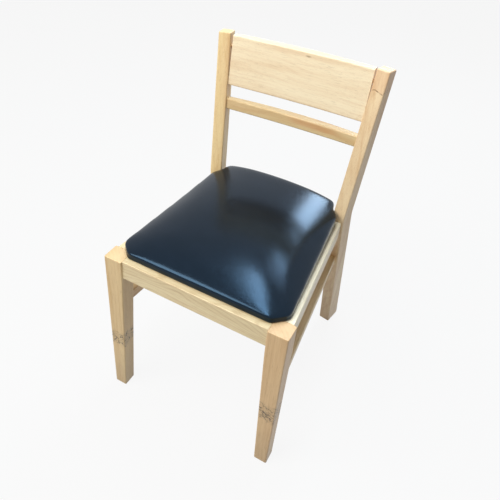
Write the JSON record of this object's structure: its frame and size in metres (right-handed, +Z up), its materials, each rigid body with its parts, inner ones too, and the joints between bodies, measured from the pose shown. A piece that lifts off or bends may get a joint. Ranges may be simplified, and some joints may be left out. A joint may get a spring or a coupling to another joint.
{
  "type": "wooden chair",
  "caption": "Pale wooden dining chair with tapered front legs, bent rear posts, a wide crest rail over a narrow slat, side stretchers and a black crowned seat pad.",
  "frame": {"origin": "on the floor, at the middle of the chair's overall width and depth", "axes": "+Z up, -Y towards the front of the chair, +X to the right as seen from the front"},
  "size_m": [0.428, 0.5354, 0.7952],
  "materials": {
    "wood": "satin lacquer",
    "block_wood": "bare",
    "dowel_wood": "bare",
    "plywood": "bare",
    "foam": "open cell foam",
    "cover": "semi-gloss grained vinyl",
    "screw": "zinc plated"
  },
  "bodies": {
    "root": {"front_left_leg": "wood", "front_right_leg": "wood", "rear_left_post": "wood", "rear_right_post": "wood", "front_rail": "wood", "rear_rail": "wood", "left_side_rail": "wood", "right_side_rail": "wood", "left_stretcher": "wood", "right_stretcher": "wood", "crest_rail": "wood", "back_slat": "wood", "front_left_block": "block_wood", "front_right_block": "block_wood", "rear_left_block": "block_wood", "rear_right_block": "block_wood", "seat_board": "plywood", "seat_foam": "foam", "seat_cover": "cover", "seat_screws": "screw", "front_rail_dowels": "dowel_wood", "rear_rail_dowels": "dowel_wood", "left_side_rail_dowels": "dowel_wood", "right_side_rail_dowels": "dowel_wood", "crest_dowels": "dowel_wood", "slat_dowels": "dowel_wood", "stretcher_dowels": "dowel_wood"}
  },
  "joints": []
}
